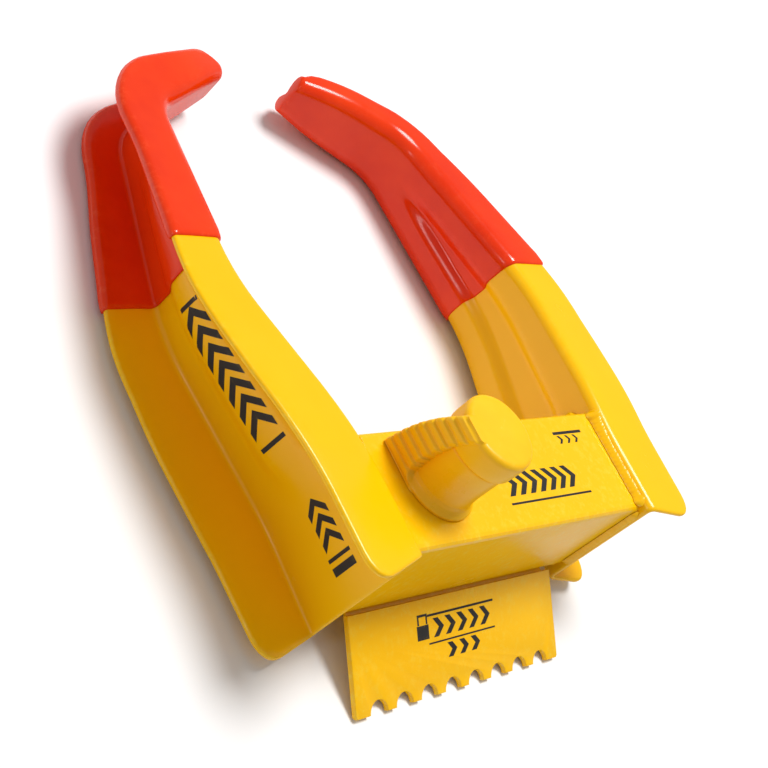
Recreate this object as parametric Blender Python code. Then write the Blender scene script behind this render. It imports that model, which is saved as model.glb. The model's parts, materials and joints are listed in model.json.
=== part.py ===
"""Wheel chock lock: two channel arms on a telescoping body, with a serrated bite plate and a keyed push lock.

Built flat first: X across between the arms, Y along the arms towards the fingers, Z out of the body's lock face.
The whole is then tipped about X so that it rests on the bite plate's teeth and on the backs of the fingers.
"""

import math

import bmesh
import bpy
import numpy as np
from mathutils import Matrix, Vector

for old in list(bpy.data.objects):
    bpy.data.objects.remove(old, do_unlink=True)

MM = 0.001

# Arms: a pressed channel that follows a bent path away from the body.
HALF_GAP = 95 * MM          # body centre to an arm's tyre side
STEEL = 3 * MM              # plate thickness
PATH = [(0, 0), (0, 50), (18.3, 146), (-2.4, 254), (-64, 286)]  # mm: outward, along
PATH_RADII = [150, 100, 26]  # mm, at the three bends
# mm: along the path, and the level of the web's front and back bends below the lock face
WEB_FRONT = [(0, 0), (75, 0), (255, -19), (300, -19), (335, -26)]
WEB_BACK = [(0, -77), (45, -75), (255, -57), (300, -52), (335, -44)]
# mm: along the path, and how far each flange stands out from the web
FRONT_FLANGE = [(0, 35.5), (60, 36.5), (105, 35), (150, 31.5), (162, 29), (240, 24), (262, 19), (335, 12)]
BACK_FLANGE = [(0, 35.5), (60, 40.5), (105, 39.5), (150, 33.5), (162, 30), (215, 25), (250, 22), (280, 16),
               (335, 12)]
# mm: along the path, how much each arm's front and back flanges differ from the tables above
ARM_DIFFERS = {
    1: ([(215, 0), (240, -2.5), (262, -4.5), (335, -4)], [(0, -3.5), (40, -3.5), (70, 0)]),
    -1: ([(225, 0), (250, 4), (268, 3.5), (300, 0.5)], [(205, 0), (235, -2), (262, 0)]),
}
BEND_RADIUS = [(0, 3.5), (120, 4.5), (240, 6), (290, 5), (335, 3)]
FLANGE_SLOPE = math.tan(math.radians(14))  # the flanges' lower ends slope down and outward
SLOPE_FADES_AT = 45 * MM
FOOT_ROUND = 12 * MM        # rounding of the flanges' lower corners
TIP_ROUND = 9 * MM
TROUGH_DEPTH = [(58, 0), (72, 4), (210, 4), (236, 0)]
TROUGH_HALF = [(58, 14), (72, 17), (160, 12), (236, 7), (290, 2), (335, 1.2)]
TROUGH_LEVEL = [(0, -38), (255, -38), (335, -33)]  # mm, level of the trough's middle
TROUGH_RAMP = 6 * MM
BEND_STEPS = 3
DIP_FROM = 149 * MM         # the coat's sections begin here, along the path
DIP_LEVEL = {1: 160 * MM, -1: 164 * MM}     # Y of the coat's edge at the back of the right and left arm
DIP_TILT = {1: 0.0, -1: 0.05}               # how far that edge climbs towards the front
DIP_COAT = 1.5 * MM
GAP = 0.3 * MM              # between touching pieces

# Body, slide tube and bite plate.
BODY_LEFT = -93 * MM
BODY_RIGHT = HALF_GAP - GAP
BODY_LOW, BODY_HIGH = 3.2 * MM, 61.7 * MM      # along Y
BODY_BACK, BODY_FRONT = -66 * MM, -5 * MM      # along Z
BODY_ROUND = 3 * MM
SLIDE_PLAY = 0.5 * MM
SLIDE_RIGHT = 76 * MM
TRAVEL = 70 * MM
HOLE_PITCH = 17.5 * MM
HOLE_COUNT = 5
STOP_X = 64 * MM
STOP_RADIUS = 4 * MM
BITE_LEFT, BITE_RIGHT = -82.6 * MM, 81.6 * MM
BITE_LENGTH = 46.5 * MM
BITE_LEAN = math.radians(27.6)
NOTCHES = 8
NOTCH_PITCH = 18.8 * MM
NOTCH_RADIUS = 6.2 * MM

# Lock, on an axis parallel to Z.
LOCK_X, LOCK_Y = -58 * MM, 34 * MM
BOOT_RADIUS = 17.4 * MM
CAP_RADIUS = 19.2 * MM
CAP_FROM, CAP_TO = 24 * MM, 38 * MM
HOUSING_RADIUS = 14 * MM
HOUSING_TOP = 23 * MM
BARREL_RADIUS = 10.7 * MM
BARREL_LOW, BARREL_TOP = 5 * MM, 27 * MM
RUN = 0.08 * MM             # running clearance all round
PUSH = 8 * MM               # how far the barrel is pushed in to lock
PLUG_RADIUS = 6 * MM
PLUG_LOW = 11 * MM
KEYWAY_HALF, KEYWAY_REACH = MM, 3.6 * MM
WAFER_PITCH, WAFER_THICK = 2.2 * MM, 0.8 * MM
WAFER_RISES = (0.5, -0.4, 0.2, -0.6, 0.4)      # mm, how far each wafer stands off centre
CAM_RADIUS, CAM_HIGH, CAM_STEPS = 4.6 * MM, 2.2 * MM, 36
LATCH_HALF, LATCH_THICK = 1.6 * MM, 1.6 * MM
LATCH_DRAW = 1.5 * MM
SCREW_RADIUS, SCREW_LEVEL = 1.9 * MM, 12 * MM
BOLT_RADIUS = 5 * MM
SPRING_RADIUS, SPRING_WIRE = 7.9 * MM, 0.7 * MM
SPRING_TURNS, SPRING_TURN_STEPS, SPRING_SIDES = 4, 14, 6
RIBS = 9                    # across the boot's pad, level with the lock face
RIB_HIGH = 0.9 * MM
RIB_CREST = (0.22, 0.72)    # where each crest starts and ends, as shares of the pitch
PAD_OUT = -80 * MM          # X of the crests at the foot
PAD_LEAN = 2.2 * MM         # the pad leans in by this much at the cap's face
PAD_SOFT = 1.2 * MM
PAD_TOP = [(-5, 57), (8, 55), (16, 53), (24, 50), (31, 46.5), (38, 42.5)]      # mm: level, upper edge along Y
PAD_FOOT = [(-5, 29), (-1, 38), (8, 39), (16, 37.5), (24, 35.5), (31, 32.5), (38, 28.5)]
ROUND_STEPS = 32


def material(name, colour, roughness, metallic=0.0):
    made = bpy.data.materials.new(name)
    made.use_nodes = True
    shader = made.node_tree.nodes["Principled BSDF"]
    shader.inputs["Base Color"].default_value = (*colour, 1)
    shader.inputs["Roughness"].default_value = roughness
    shader.inputs["Metallic"].default_value = metallic
    return made


YELLOW = material("yellow_enamel", (0.93, 0.60, 0.0), 0.22)
RED = material("red_vinyl", (0.80, 0.05, 0.01), 0.25)
RUBBER = material("yellow_rubber", (0.93, 0.62, 0.02), 0.45)
ZINC = material("zinc_plate", (0.62, 0.62, 0.60), 0.35, 1.0)
STEEL_BARE = material("hardened_steel", (0.45, 0.45, 0.46), 0.30, 1.0)
BRASS = material("brass", (0.72, 0.52, 0.22), 0.30, 1.0)
CHROME = material("chrome", (0.78, 0.78, 0.80), 0.10, 1.0)


def node(name, bm, surface, smooth_angle=None):
    """The bmesh as a named object, with its normals outward."""
    bmesh.ops.recalc_face_normals(bm, faces=bm.faces)
    if bm.calc_volume(signed=True) < 0:
        bmesh.ops.reverse_faces(bm, faces=bm.faces)
    mesh = bpy.data.meshes.new(name)
    bm.to_mesh(mesh)
    bm.free()
    made = bpy.data.objects.new(name, mesh)
    bpy.context.scene.collection.objects.link(made)
    if surface:
        mesh.materials.append(surface)
    if smooth_angle is not None:
        mesh.shade_smooth()
        mesh.set_sharp_from_angle(angle=math.radians(smooth_angle))
    return made


def loft(bm, loops, close_start=True, close_end=True):
    """Skins closed loops of the same number of points, with flat ends."""
    rings = [[bm.verts.new(point) for point in loop] for loop in loops]
    for first, second in zip(rings, rings[1:]):
        for i, corner in enumerate(first):
            after = (i + 1) % len(first)
            bm.faces.new((corner, first[after], second[after], second[i]))
    if close_start:
        bm.faces.new(rings[0][::-1])
    if close_end:
        bm.faces.new(rings[-1])
    return rings


def box(low, high):
    bm = bmesh.new()
    centre = (Vector(low) + Vector(high)) / 2
    size = Vector(high) - Vector(low)
    bmesh.ops.create_cube(bm, size=1, matrix=Matrix.Translation(centre) @ Matrix.Diagonal((*size, 1)))
    return bm


def turned(profile, x, y, steps=ROUND_STEPS, phase=0.0):
    """A solid turned about the vertical axis through x, y; profile is (radius, z) pairs."""
    bm = bmesh.new()
    loops = []
    for radius, z in profile:
        angles = [2 * math.pi * i / steps + phase for i in range(steps)]
        loops.append([(x + radius * math.cos(a), y + radius * math.sin(a), z) for a in angles])
    loft(bm, loops)
    return bm


def cut(target, cutter, operation="DIFFERENCE"):
    cutter.hide_render = True
    cutter.display_type = "WIRE"
    modifier = target.modifiers.new(operation.lower() + "_" + cutter.name, "BOOLEAN")
    modifier.operation = operation
    modifier.solver = "EXACT"
    modifier.object = cutter
    return modifier


def between(table, along):
    """A driving dimension read part of the way along, in metres."""
    places, values = zip(*table)
    return float(np.interp(along / MM, places, values)) * MM


# The arm's path: straight runs joined by arcs, walked by length.
def arm_path():
    """Stations along the arm: (length so far, point, direction)."""
    corners = [Vector(c) * MM for c in PATH]
    stops = [(0.0, corners[0], (corners[1] - corners[0]).normalized())]
    reached = 0.0
    here = corners[0]
    for before, corner, after, radius in zip(corners, corners[1:], corners[2:], PATH_RADII):
        into = (corner - before).normalized()
        out = (after - corner).normalized()
        turn = into.angle_signed(out)
        cut_back = radius * MM * math.tan(abs(turn) / 2)
        start = corner - into * cut_back
        reached += (start - here).length
        arc_length = radius * MM * abs(turn)
        normal = Vector((-into.y, into.x)) * (-1 if turn > 0 else 1)
        hub = start + normal * radius * MM
        steps = max(3, round(abs(turn) / math.radians(7)))
        for i in range(steps + 1):
            swing = Matrix.Rotation(-turn * i / steps, 2)
            stops.append((reached + arc_length * i / steps, hub + swing @ (start - hub), swing @ into))
        reached += arc_length
        here = corner + out * cut_back
    stops.append((reached + (corners[-1] - here).length, corners[-1], (corners[-1] - here).normalized()))
    return stops


STOPS = arm_path()
ARM_LENGTH = STOPS[-1][0]


def on_path(along):
    """Point and direction at this length along the arm."""
    for (first, p, d), (second, q, e) in zip(STOPS, STOPS[1:]):
        if along <= second or second == ARM_LENGTH:
            share = (along - first) / (second - first)
            return p.lerp(q, share), d.lerp(e, share).normalized()


def rounded(width, distance, radius):
    """A width cut back by a quarter round as it nears its end."""
    if distance >= radius:
        return width
    return width - radius + math.sqrt(max(0.0, radius * radius - (radius - distance) ** 2))


def channel_line(along, reach, side):
    """Middle line of the pressed plate across the channel, as (outward, level) points."""
    half = STEEL / 2
    front = between(WEB_FRONT, along) - half
    back = between(WEB_BACK, along) + half
    radius = between(BEND_RADIUS, along)
    to_tip = ARM_LENGTH - along
    widths = []
    for table, differs in zip((FRONT_FLANGE, BACK_FLANGE), ARM_DIFFERS[side]):
        width = rounded(between(table, along) + between(differs, along), along, FOOT_ROUND)
        width = max(rounded(width, to_tip, TIP_ROUND), half + radius + GAP)
        widths.append(width + reach)
    points = [(widths[0], front)]
    for i in range(BEND_STEPS + 1):
        a = math.pi / 2 * i / BEND_STEPS
        points.append((half + radius - radius * math.sin(a), front - radius + radius * math.cos(a)))
    depth = between(TROUGH_DEPTH, along)
    spread = between(TROUGH_HALF, along)
    middle = between(TROUGH_LEVEL, along)
    ramp = min(TROUGH_RAMP, spread / 2)
    for level, share in ((spread, 0), (spread - ramp, 1), (ramp - spread, 1), (-spread, 0)):
        points.append((half + depth * share, middle + level))
    for i in range(BEND_STEPS + 1):
        a = math.pi / 2 * i / BEND_STEPS
        points.append((half + radius - radius * math.cos(a), back + radius - radius * math.sin(a)))
    points.append((widths[1], back))
    return [Vector(p) for p in points]


def thickened(line, half):
    """A closed loop at this distance on both sides of the line."""
    left, right = [], []
    for i, point in enumerate(line):
        before = line[max(i - 1, 0)]
        after = line[min(i + 1, len(line) - 1)]
        along = (after - before).normalized()
        side = Vector((-along.y, along.x)) * half
        left.append(point + side)
        right.append(point - side)
    return left + right[::-1]


def arm_loop(along, half, reach=0.0, side=1):
    """The channel's section in place: half is half its thickness, reach makes the flanges wider."""
    point, ahead = on_path(along)
    outward = Vector((ahead.y, -ahead.x))
    fade = max(0.0, 1 - along / SLOPE_FADES_AT)
    loop = []
    for out, level in thickened(channel_line(along, reach, side), half):
        at = point + outward * out - ahead * (out * FLANGE_SLOPE * fade)
        loop.append((side * (HALF_GAP + at.x), at.y, level))
    return loop


FOOT_STATIONS = [FOOT_ROUND * share for share in (0, 0.12, 0.4, 1)]
TIP_STATIONS = [ARM_LENGTH - TIP_ROUND * share for share in (1, 0.45, 0.15, 0.02)]
MID_STATIONS = [0.032, 0.048, 0.058, 0.065, 0.072, 0.100, 0.124, 0.137, 0.150, 0.185, 0.210, 0.236]
ELBOW_STATIONS = [0.242, 0.248, 0.254, 0.260, 0.266, 0.272, 0.285, 0.302, 0.318]


def claw_arm(name, side):
    bm = bmesh.new()
    stations = FOOT_STATIONS + MID_STATIONS + ELBOW_STATIONS + TIP_STATIONS
    loft(bm, [arm_loop(s, STEEL / 2, 0, side) for s in stations])
    return node(name, bm, YELLOW, 35)


def dip_coat(name, side):
    """The vinyl skin round the arm's upper half: an outer loft, with a hollow loft inside for the steel."""
    stations = [s for s in MID_STATIONS + ELBOW_STATIONS + TIP_STATIONS if s >= DIP_FROM]
    clear = STEEL / 2 + GAP
    skin = clear + DIP_COAT
    bm = bmesh.new()
    outer = loft(bm, [arm_loop(s, skin, DIP_COAT + GAP, side) for s in stations], close_start=False)
    inner = loft(bm, [arm_loop(s, clear, GAP, side) for s in stations], close_start=False)
    for ring in (outer[0], inner[0]):
        for corner, next_corner in zip(ring, outer[1] if ring is outer[0] else inner[1]):
            run = next_corner.co - corner.co
            edge = DIP_LEVEL[side] + DIP_TILT[side] * (corner.co.z - BODY_BACK)
            corner.co += run * ((edge - corner.co.y) / run.y)
    for i in range(len(outer[0])):
        after = (i + 1) % len(outer[0])
        bm.faces.new((outer[0][i], outer[0][after], inner[0][after], inner[0][i]))
    # The outer skin runs on past the steel and closes with a blunt round.
    point, ahead = on_path(ARM_LENGTH)
    for ring, run in ((outer[-1], 2.2 * MM), (inner[-1], GAP)):
        for corner in ring:
            corner.co += Vector((side * ahead.x, ahead.y, 0)) * run
    return node(name, bm, RED, 40)


right_arm = claw_arm("right_arm", 1)
left_arm = claw_arm("left_arm", -1)
right_dip = dip_coat("right_arm_dip", 1)
left_dip = dip_coat("left_arm_dip", -1)


# Body: a rectangular tube with softened corners, open at the left end for the slide tube.
def bar(left, right, low, high, back, front, radius, steps=3):
    """A bar along X with rounded edges, as a bmesh."""
    bm = bmesh.new()
    ring = []
    for y, z, quarter in ((high, front, 0), (low, front, 1), (low, back, 2), (high, back, 3)):
        hub_y = y - radius if quarter in (0, 3) else y + radius
        hub_z = z - radius if quarter in (0, 1) else z + radius
        for i in range(steps + 1):
            a = math.pi / 2 * (quarter + i / steps)
            ring.append((hub_y + radius * math.cos(a), hub_z + radius * math.sin(a)))
    loft(bm, [[(x, y, z) for y, z in ring] for x in (left, right)])
    return bm


def drill(name, radius, x, y, low, high, steps=ROUND_STEPS):
    return node(name, turned([(radius, low), (radius, high)], x, y, steps), None)


inner_low, inner_high = BODY_LOW + STEEL, BODY_HIGH - STEEL
inner_back, inner_front = BODY_BACK + STEEL, BODY_FRONT - STEEL
bm = bar(BODY_LEFT, BODY_RIGHT, BODY_LOW, BODY_HIGH, BODY_BACK, BODY_FRONT, BODY_ROUND)
body = node("body", bm, YELLOW, 50)
bm = bar(BODY_LEFT - STEEL, BODY_RIGHT + STEEL, inner_low, inner_high, inner_back, inner_front, MM)
cut(body, node("body_bore", bm, None))
bolt_hole = drill("body_bolt_hole", BOLT_RADIUS + GAP, LOCK_X, LOCK_Y, BODY_FRONT - 2 * STEEL, BODY_FRONT + STEEL, 20)
cut(body, bolt_hole)
slot_middle = (BODY_LOW + BODY_HIGH) / 2
slot_radius = STOP_RADIUS + 0.6 * MM
bm = bmesh.new()
slot_ring = []
for end, turn in ((STOP_X, -math.pi / 2), (STOP_X - TRAVEL, math.pi / 2)):
    for i in range(9):
        a = turn + math.pi * i / 8
        slot_ring.append((end + slot_radius * math.cos(a), slot_middle + slot_radius * math.sin(a)))
loft(bm, [[(x, y, z) for x, y in slot_ring] for z in (BODY_BACK - STEEL, BODY_BACK + 2 * STEEL)])
cut(body, node("body_stop_slot", bm, None))

# Slide tube: runs inside the body and carries the left arm; its front wall has the row of lock holes.
tube_low, tube_high = inner_low + SLIDE_PLAY, inner_high - SLIDE_PLAY
tube_back, tube_front = inner_back + SLIDE_PLAY, inner_front - SLIDE_PLAY
slide_tube = node(
    "slide_tube",
    bar(-HALF_GAP + GAP, SLIDE_RIGHT, tube_low, tube_high, tube_back, tube_front, 2 * MM, 2),
    ZINC,
    50,
)
tube_bore = bar(-HALF_GAP - STEEL, SLIDE_RIGHT + STEEL, tube_low + STEEL, tube_high - STEEL,
                tube_back + STEEL, tube_front - STEEL, MM, 1)
cut(slide_tube, node("slide_tube_bore", tube_bore, None))
for i in range(HOLE_COUNT):
    hole = drill(f"slide_tube_hole_{i + 1}", BOLT_RADIUS + 0.6 * MM, LOCK_X + HOLE_PITCH * i, LOCK_Y,
                 tube_front - 2 * STEEL, tube_front + STEEL, 20)
    cut(slide_tube, hole)
cut(slide_tube, drill("slide_tube_stop_hole", STOP_RADIUS + 0.05 * MM, STOP_X, slot_middle,
                      tube_back - STEEL, tube_back + 2 * STEEL, 20))


# Stop bolt: through the slide tube's back wall, its head running in the body's slot.
def hexagon(radius, low, high, x, y):
    return turned([(radius, low), (radius, high)], x, y, 6)


bolt_head = BODY_BACK + 1.0 * MM
stop_bolt = node(
    "stop_bolt",
    turned([(STOP_RADIUS * 0.7, bolt_head), (STOP_RADIUS, bolt_head + 0.8 * MM),
            (STOP_RADIUS, tube_back + STEEL + 9 * MM), (STOP_RADIUS * 0.75, tube_back + STEEL + 10 * MM)],
           STOP_X, slot_middle, 20),
    ZINC, 40,
)
nut_seat = tube_back + STEEL
nut = node("stop_nut", hexagon(7.4 * MM, nut_seat + GAP, nut_seat + 6.8 * MM, STOP_X, slot_middle), ZINC, 20)
nut_bore = drill("stop_nut_bore", STOP_RADIUS + 0.05 * MM, STOP_X, slot_middle, tube_back, nut_seat + 20 * MM, 20)
cut(nut, nut_bore)

# Bite plate: serrated along its lower edge, leaning back under the body.
along_plate = Vector((0, -math.cos(BITE_LEAN), -math.sin(BITE_LEAN)))
through_plate = Vector((0, math.sin(BITE_LEAN), -math.cos(BITE_LEAN)))
plate_root = Vector((0, BODY_LOW - GAP, BODY_BACK))


def on_plate(x, down, into):
    return Vector((x, 0, 0)) + plate_root + along_plate * down + through_plate * into


edge = [(BITE_RIGHT, -2 * STEEL), (BITE_LEFT, -2 * STEEL), (BITE_LEFT, BITE_LENGTH)]
first_notch = (BITE_LEFT + BITE_RIGHT) / 2 - NOTCH_PITCH * (NOTCHES - 1) / 2
for i in range(NOTCHES):
    middle = first_notch + NOTCH_PITCH * i
    for j in range(9):
        a = math.pi * (1 - j / 8)
        edge.append((middle + NOTCH_RADIUS * math.cos(a), BITE_LENGTH - NOTCH_RADIUS * math.sin(a)))
edge.append((BITE_RIGHT, BITE_LENGTH))
bm = bmesh.new()
loft(bm, [[on_plate(x, down, into) for x, down in edge] for into in (-STEEL, 0)])
bite_plate = node("bite_plate", bm, YELLOW)
# The plate's root is trimmed to the body's corner.
trim = bar(BODY_LEFT, BODY_RIGHT, BODY_LOW - GAP, BODY_HIGH, BODY_BACK - GAP, BODY_FRONT, BODY_ROUND + GAP)
cut(bite_plate, node("bite_plate_trim", trim, None))


# Weld beads: three-sided fillets with a rippled face.
def weld_bead(name, corner, first_leg, second_leg, stations, size):
    """corner(t) is the inner corner at t along the seam; the legs run along the two plates; size(t) is the leg."""
    bm = bmesh.new()
    loops = []
    for i in range(stations + 1):
        t = i / stations
        leg = size(t) * (1.0 if i % 2 else 0.84)
        if i in (0, stations):
            leg *= 0.7
        root = corner(t) + (first_leg + second_leg) * GAP
        loop = [root]
        for k in range(4):
            a = math.pi / 2 * k / 3
            loop.append(root + first_leg * leg * math.cos(a) + second_leg * leg * math.sin(a))
        loops.append(loop)
    loft(bm, loops)
    return node(name, bm, YELLOW, 60)


def arm_side(y):
    """Where the right arm's web stands at this distance along the body."""
    point, _ = on_path(y)
    return HALF_GAP + point.x


X, Y, Z = Vector((1, 0, 0)), Vector((0, 1, 0)), Vector((0, 0, 1))
seam_low, seam_high = BODY_LOW + 1 * MM, BODY_HIGH - 1 * MM


def front_corner(t):
    y = seam_low + (seam_high - seam_low) * t
    return Vector((arm_side(y), y, BODY_FRONT))


def front_size(t):
    y = seam_low + (seam_high - seam_low) * t
    return 3.2 * MM + (arm_side(y) - HALF_GAP) + (1.2 * MM if t in (0, 1) else 0)


weld_bead("weld_front", front_corner, -X, Z, 22, front_size)
weld_bead("weld_back", lambda t: front_corner(t) + Z * (BODY_BACK - BODY_FRONT), -X, -Z, 22, front_size)
weld_bead("weld_top", lambda t: Vector((arm_side(BODY_HIGH), BODY_HIGH, BODY_FRONT - 8 * MM - 44 * MM * t)),
          -X, Y, 16, lambda t: 5.8 * MM)
weld_bead("weld_under", lambda t: Vector((HALF_GAP, BODY_LOW, BODY_FRONT - 3 * MM - 54 * MM * t)),
          -X, -Y, 18, lambda t: 2.6 * MM)

# Bead under the body, where the bite plate's back meets it.
BITE_BEAD_STEPS = 20
BITE_BEAD_INSET = 3 * MM
bm = bmesh.new()
loops = []
for i in range(BITE_BEAD_STEPS + 1):
    x = BITE_LEFT + BITE_BEAD_INSET + (BITE_RIGHT - BITE_LEFT - 2 * BITE_BEAD_INSET) * i / BITE_BEAD_STEPS
    swell = (1.6 if i % 2 else 1.2) * MM
    low_end = on_plate(x, 3.5 * MM, GAP)
    inner_end = on_plate(x, -0.9 * MM, GAP)
    high_end = Vector((x, BODY_LOW + BODY_ROUND + 0.4 * MM, BODY_BACK - GAP))
    bulge_low = low_end.lerp(high_end, 0.33) + through_plate * swell
    bulge_high = low_end.lerp(high_end, 0.72) + through_plate * swell
    loops.append([low_end, inner_end, high_end, bulge_high, bulge_low])
loft(bm, loops)
node("weld_bite", bm, YELLOW, 60)

# Lock housing: a steel tube welded to the lock face; the barrel slides in it.
housing_profile = [
    (HOUSING_RADIUS, BODY_FRONT + GAP),
    (HOUSING_RADIUS, HOUSING_TOP - MM),
    (HOUSING_RADIUS - MM, HOUSING_TOP),
]
housing = node("lock_housing", turned(housing_profile, LOCK_X, LOCK_Y), ZINC, 40)
cut(housing, drill("housing_bore", BARREL_RADIUS + RUN, LOCK_X, LOCK_Y, BODY_FRONT - STEEL, HOUSING_TOP + STEEL))
latch_level = PLUG_LOW - 1.3 * MM
pocket = box((LOCK_X + 9 * MM, LOCK_Y - LATCH_HALF - RUN, latch_level - PUSH - LATCH_THICK),
             (LOCK_X + 12.4 * MM, LOCK_Y + LATCH_HALF + RUN, latch_level - PUSH + LATCH_THICK))
cut(housing, node("housing_latch_pocket", pocket, None))


def across(name, radius, near, far, level, surface):
    """A round pin that points at the lock's axis from below, between two distances from it."""
    bm = turned([(radius, near), (radius, far)], 0, 0, 16)
    bmesh.ops.transform(bm, matrix=Matrix.Rotation(math.pi / 2, 4, "X"), verts=bm.verts)
    bmesh.ops.translate(bm, vec=(LOCK_X, LOCK_Y, level), verts=bm.verts)
    return node(name, bm, surface, 40)


cut(housing, across("set_screw_hole", SCREW_RADIUS + 0.1 * MM, BARREL_RADIUS - 3 * MM, 20 * MM, SCREW_LEVEL, None))
across("set_screw", SCREW_RADIUS, 9.7 * MM, HOUSING_RADIUS, SCREW_LEVEL, STEEL_BARE)

# Lock barrel: slides in the housing; bored for the key plug, slotted for the latch and for the set screw.
barrel_profile = [
    (BARREL_RADIUS - 0.8 * MM, BARREL_LOW),
    (BARREL_RADIUS, BARREL_LOW + 0.8 * MM),
    (BARREL_RADIUS, BARREL_TOP - MM),
    (BARREL_RADIUS - MM, BARREL_TOP),
]
barrel = node("lock_barrel", turned(barrel_profile, LOCK_X, LOCK_Y), CHROME, 40)
plug_bore_low = PLUG_LOW - CAM_HIGH - GAP
cut(barrel, drill("barrel_plug_bore", PLUG_RADIUS + RUN, LOCK_X, LOCK_Y, plug_bore_low, BARREL_TOP + STEEL))
latch_slot = box((LOCK_X, LOCK_Y - LATCH_HALF - RUN, latch_level - LATCH_THICK / 2 - RUN),
                 (LOCK_X + BARREL_RADIUS + MM, LOCK_Y + LATCH_HALF + RUN, latch_level + LATCH_THICK / 2 + RUN))
cut(barrel, node("barrel_latch_slot", latch_slot, None))
guide_half = SCREW_RADIUS + 0.2 * MM
guide = box((LOCK_X - guide_half, LOCK_Y - BARREL_RADIUS - MM, SCREW_LEVEL - guide_half),
            (LOCK_X + guide_half, LOCK_Y - 9.4 * MM, SCREW_LEVEL + PUSH + guide_half))
cut(barrel, node("barrel_guide_slot", guide, None))

# Key plug with its keyway, and the wafers in their slots.
plug_top = BARREL_TOP - 0.6 * MM
plug_profile = [
    (PLUG_RADIUS, PLUG_LOW + GAP),
    (PLUG_RADIUS, plug_top - 0.5 * MM),
    (PLUG_RADIUS - 0.5 * MM, plug_top),
]
plug = node("key_plug", turned(plug_profile, LOCK_X, LOCK_Y, 24), BRASS, 40)
keyway = box((LOCK_X - KEYWAY_HALF, LOCK_Y - KEYWAY_REACH, PLUG_LOW + 2 * MM),
             (LOCK_X + KEYWAY_HALF, LOCK_Y + KEYWAY_REACH, plug_top + MM))
cut(plug, node("keyway", keyway, None))
for i, rise in enumerate(WAFER_RISES):
    level = PLUG_LOW + 3.2 * MM + WAFER_PITCH * i
    slot = box((LOCK_X - 2.6 * MM, LOCK_Y - 4.6 * MM, level),
               (LOCK_X + 2.6 * MM, LOCK_Y + 4.6 * MM, level + WAFER_THICK + 0.2 * MM))
    cut(plug, node(f"plug_slot_{i + 1}", slot, None))
    middle = LOCK_Y + rise * MM
    low_face = level + 0.1 * MM
    plate = box((LOCK_X - 2.45 * MM, middle - 3.9 * MM, low_face),
                (LOCK_X + 2.45 * MM, middle + 3.9 * MM, low_face + WAFER_THICK))
    wafer = node(f"wafer_{i + 1}", plate, BRASS)
    window = box((LOCK_X - 1.3 * MM, middle - 2.6 * MM, low_face - MM),
                 (LOCK_X + 1.3 * MM, middle + 2.6 * MM, low_face + WAFER_THICK + MM))
    cut(wafer, node(f"wafer_window_{i + 1}", window, None))

# Cam under the plug: its rim falls away in a spiral, so that a quarter turn draws the side latch in.
bm = bmesh.new()
rim = []
for i in range(CAM_STEPS):
    angle = 2 * math.pi * i / CAM_STEPS
    behind = math.degrees(2 * math.pi - angle) % 360
    fall = float(np.interp(behind, [0, 90, 115, 160, 360], [0, 1, 1, 0, 0])) * LATCH_DRAW
    rim.append((LOCK_X + (CAM_RADIUS - fall) * math.cos(angle), LOCK_Y + (CAM_RADIUS - fall) * math.sin(angle)))
loft(bm, [[(x, y, z) for x, y in rim] for z in (PLUG_LOW - CAM_HIGH, PLUG_LOW)])
node("plug_cam", bm, ZINC, 40)
latch = box((LOCK_X + CAM_RADIUS + GAP, LOCK_Y - LATCH_HALF, latch_level - LATCH_THICK / 2),
            (LOCK_X + BARREL_RADIUS - 0.2 * MM, LOCK_Y + LATCH_HALF, latch_level + LATCH_THICK / 2))
node("side_latch", latch, STEEL_BARE)

# Retaining ring on the housing's mouth.
ring_low = HOUSING_TOP + GAP
ring_profile = [(HOUSING_RADIUS - 0.6 * MM, ring_low), (HOUSING_RADIUS - 0.6 * MM, ring_low + 1.2 * MM)]
ring = node("retaining_ring", turned(ring_profile, LOCK_X, LOCK_Y), STEEL_BARE, 40)
cut(ring, drill("ring_bore", BARREL_RADIUS + GAP, LOCK_X, LOCK_Y, ring_low - MM, ring_low + STEEL))

# Lock bolt: hangs from the barrel and points into the body; the return spring stands round it.
bolt_low = BODY_FRONT - STEEL + GAP
bolt_profile = [
    (BOLT_RADIUS - MM, bolt_low),
    (BOLT_RADIUS, bolt_low + 1.2 * MM),
    (BOLT_RADIUS, BARREL_LOW - GAP),
]
node("lock_bolt", turned(bolt_profile, LOCK_X, LOCK_Y, 24), STEEL_BARE, 40)
spring_low = BODY_FRONT + SPRING_WIRE + 0.35 * MM
spring_high = BARREL_LOW - SPRING_WIRE - 0.35 * MM
bm = bmesh.new()
loops = []
spring_steps = SPRING_TURNS * SPRING_TURN_STEPS
for i in range(spring_steps + 1):
    angle = 2 * math.pi * i / SPRING_TURN_STEPS
    outward = Vector((math.cos(angle), math.sin(angle), 0))
    height = spring_low + (spring_high - spring_low) * i / spring_steps
    centre = Vector((LOCK_X, LOCK_Y, height)) + outward * SPRING_RADIUS
    section = []
    for k in range(SPRING_SIDES):
        around = 2 * math.pi * k / SPRING_SIDES
        section.append(centre + (outward * math.cos(around) + Z * math.sin(around)) * SPRING_WIRE)
    loops.append(section)
loft(bm, loops)
node("return_spring", bm, STEEL_BARE, 60)

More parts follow.
